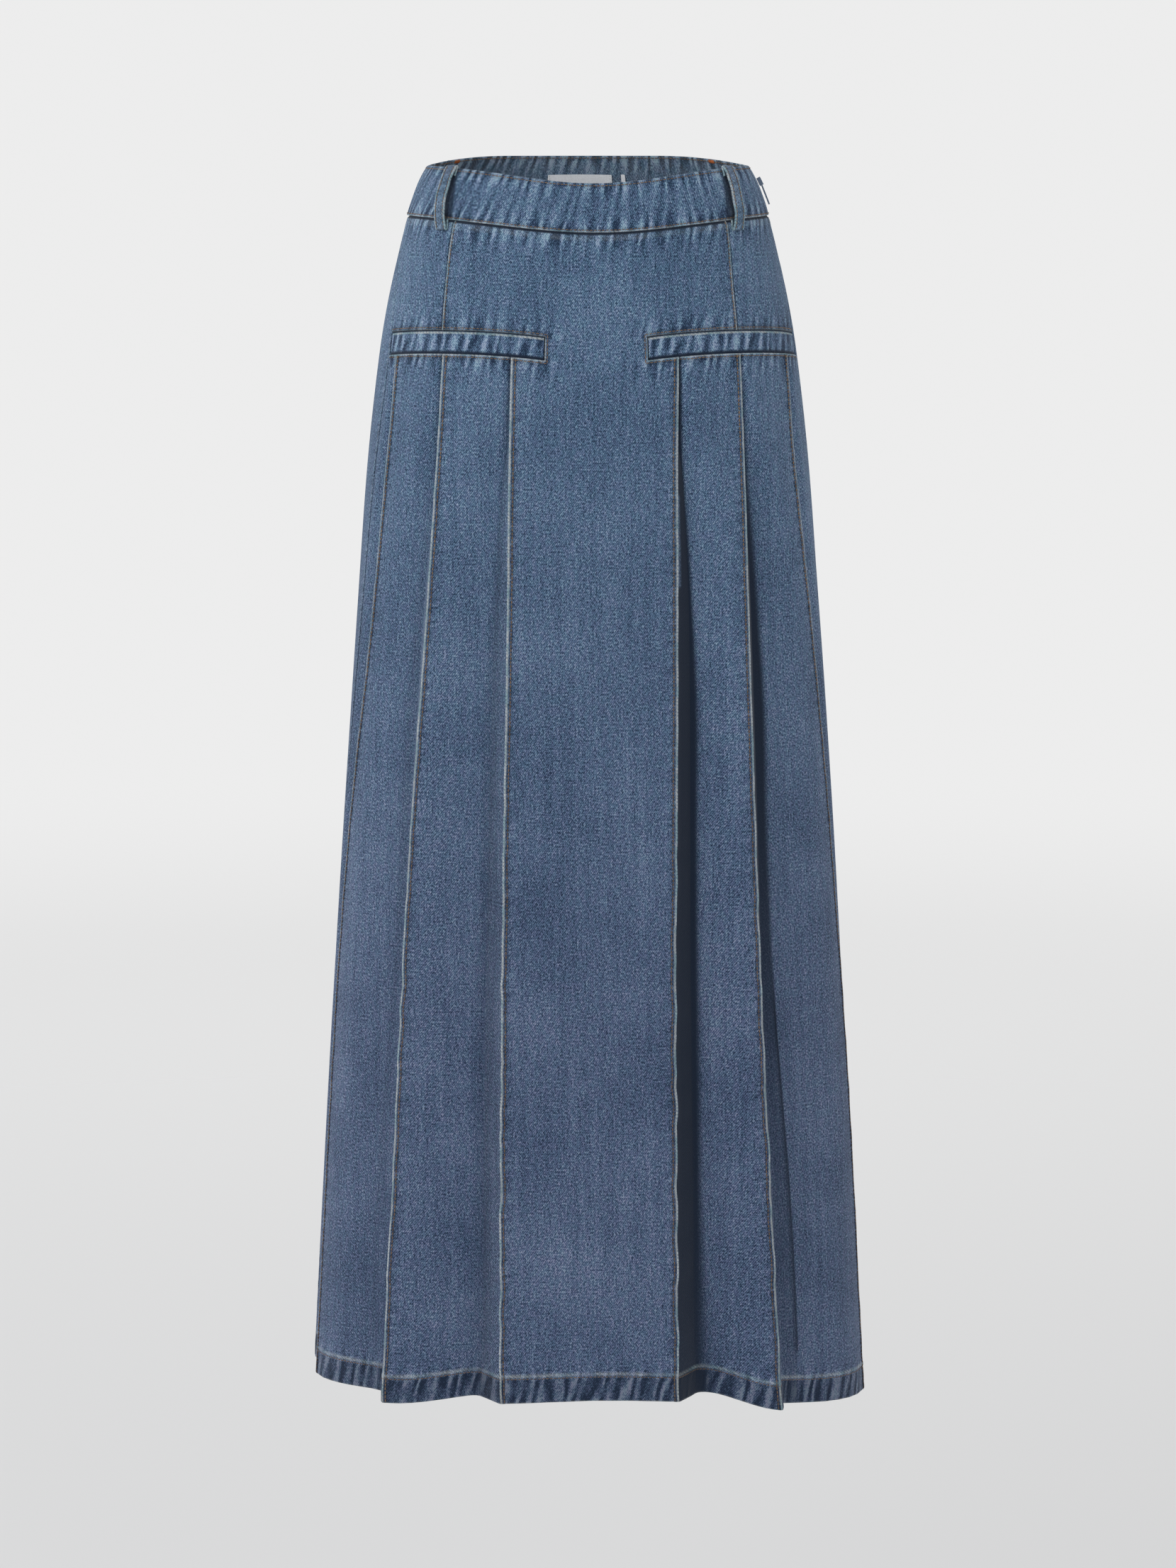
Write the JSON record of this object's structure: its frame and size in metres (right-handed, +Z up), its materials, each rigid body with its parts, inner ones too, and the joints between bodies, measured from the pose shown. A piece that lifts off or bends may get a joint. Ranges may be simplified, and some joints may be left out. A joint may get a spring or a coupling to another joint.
{
  "type": "denim skirt",
  "caption": "Long A-line denim skirt with a shaped waistband, belt loops, long welt pockets and stitched knife pleats, hollow and open at waist and hem.",
  "frame": {"origin": "centre of the waist, inside the waistband, where the wearer holds the skirt up", "axes": "+Z up, -Y towards the front of the skirt, +X towards the wearer's left"},
  "size_m": [0.4355, 0.341, 0.9621],
  "materials": {
    "denim": "mid-wash indigo twill with abraded fold edges",
    "label_cloth": "plain woven satin",
    "zip_tape": "woven polyester tape",
    "zip_metal": "enamel in the colour of the denim"
  },
  "bodies": {
    "root": {"front_panel": "denim", "side_front_left": "denim", "side_front_right": "denim", "pocket_welt_left": "denim", "pocket_welt_right": "denim", "back_panel": "denim", "waistband_front": "denim", "waistband_back": "denim", "belt_loop_front_left": "denim", "belt_loop_front_right": "denim", "belt_loop_back_left": "denim", "belt_loop_back_right": "denim", "label": "label_cloth", "size_tag": "label_cloth", "zip_tape": "zip_tape", "zip_slider": "zip_metal"},
    "pull": {"zip_pull": "zip_metal"}
  },
  "joints": [
    {"name": "pull_swing", "type": "hinge", "parent": "root", "child": "pull", "pos_m": [0.13123, -0.00681, 0.01387], "axis": [-0.0677, -0.9977, -0.0083], "range_deg": [0, 150]}
  ]
}
